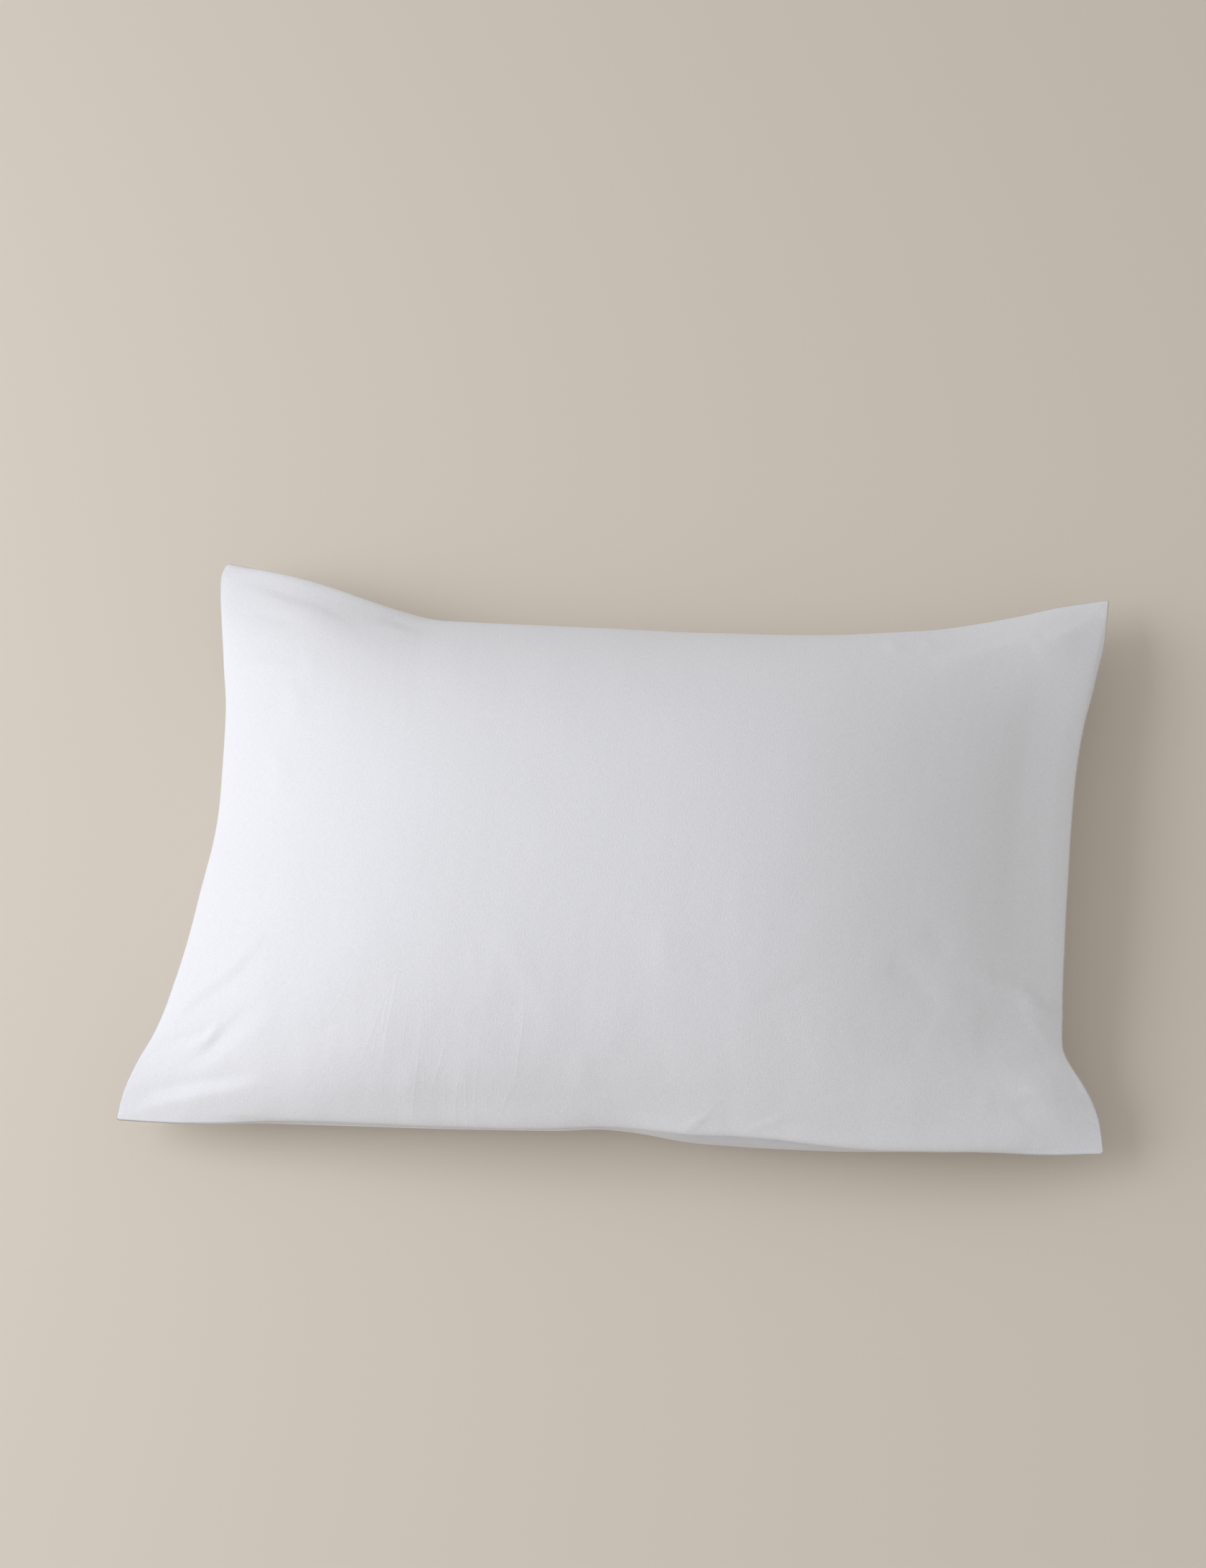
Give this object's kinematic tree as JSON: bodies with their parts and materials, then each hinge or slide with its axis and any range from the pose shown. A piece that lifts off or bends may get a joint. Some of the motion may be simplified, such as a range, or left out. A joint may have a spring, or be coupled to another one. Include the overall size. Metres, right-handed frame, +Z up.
{
  "type": "pillow sham",
  "caption": "Plain white cotton pillow sham, filled and lying on its back: soft crown, thin pointed corners and long sides drawn in between them.",
  "frame": {"origin": "on the surface the sham lies on, below the middle of its outline", "axes": "+X along its length, +Y towards its upper long side, +Z up out of its front panel"},
  "size_m": [0.7258, 0.4812, 0.1582],
  "materials": {
    "cotton": "matt plain-woven white cotton with a soft fine crinkle"
  },
  "bodies": {
    "root": {"sham": "cotton"}
  },
  "joints": []
}
